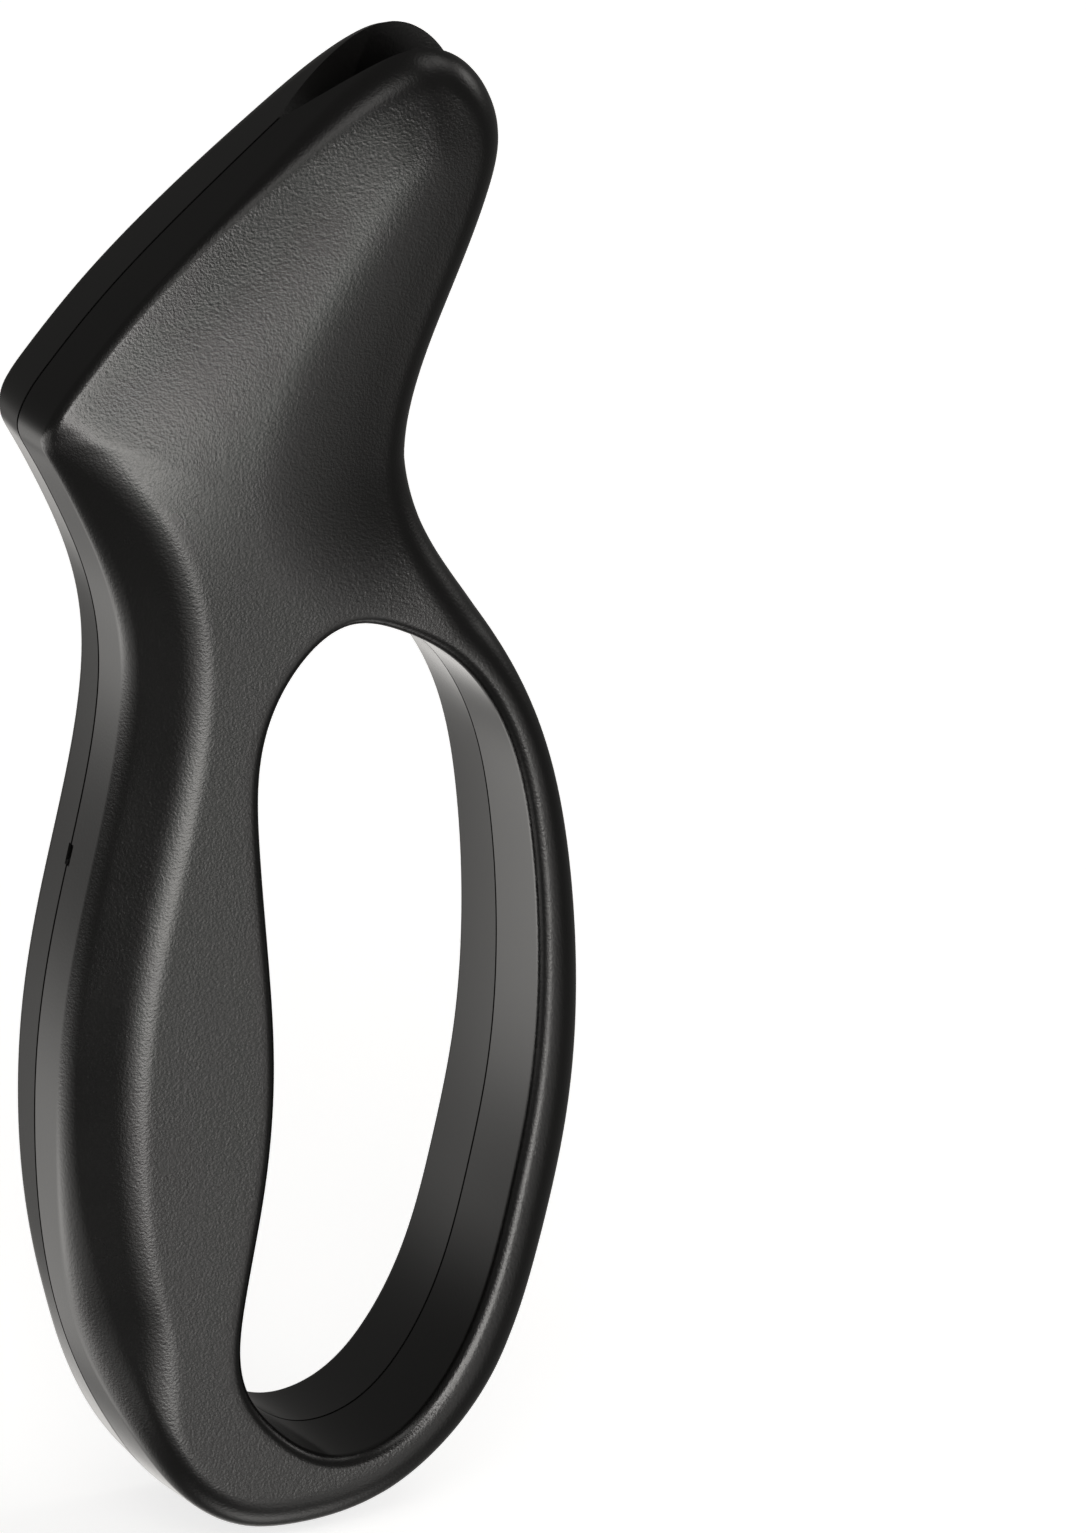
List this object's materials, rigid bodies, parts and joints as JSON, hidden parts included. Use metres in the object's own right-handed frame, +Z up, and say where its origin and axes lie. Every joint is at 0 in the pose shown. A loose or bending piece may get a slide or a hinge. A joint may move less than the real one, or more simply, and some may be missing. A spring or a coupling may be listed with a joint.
{
  "type": "hand-held v-slot sharpener",
  "caption": "Hand-held V-slot blade sharpener: two-shell black plastic handle with full finger guard, forked head and a removable carbide cartridge held by a clamp screw.",
  "frame": {"origin": "centre of the overall box in X and Y, at the lowest point of the heel", "axes": "+Z up the handle from the heel to the head; -Y out of the front face; +X towards the finger guard; the two shells meet at y = 0"},
  "size_m": [0.056, 0.0196, 0.1495],
  "materials": {
    "black_abs": "satin black moulded plastic with fine spark-eroded grain",
    "carrier_nylon": "plain dark nylon",
    "carbide": "ground carbide",
    "rivet_steel": "plain steel",
    "zinc_steel": "zinc plated",
    "black_steel": "black oxide"
  },
  "bodies": {
    "handle": {"front_shell": "black_abs", "rear_shell": "black_abs", "clamp_nut": "zinc_steel", "case_screw_head": "black_steel", "case_screw_neck": "black_steel", "case_screw_palm_upper": "black_steel", "case_screw_palm_lower": "black_steel", "case_screw_heel": "black_steel", "clamp_washer": "zinc_steel"},
    "cartridge": {"carrier_left": "carrier_nylon", "carrier_right": "carrier_nylon", "carbide_blade_left": "carbide", "carbide_blade_right": "carbide", "cartridge_rivet_front": "rivet_steel", "cartridge_rivet_rear": "rivet_steel"},
    "screw": {"clamp_screw": "zinc_steel"}
  },
  "joints": [
    {"name": "cartridge_slide", "type": "slide", "parent": "handle", "child": "cartridge", "axis": [0.5406, 0, 0.8413], "range_m": [0, 0.018]},
    {"name": "clamp_turn", "type": "hinge", "parent": "handle", "child": "screw", "pos_m": [0.00124, 0, 0.12602], "axis": [0, 1, 0], "range_deg": [0, 1285]}
  ]
}
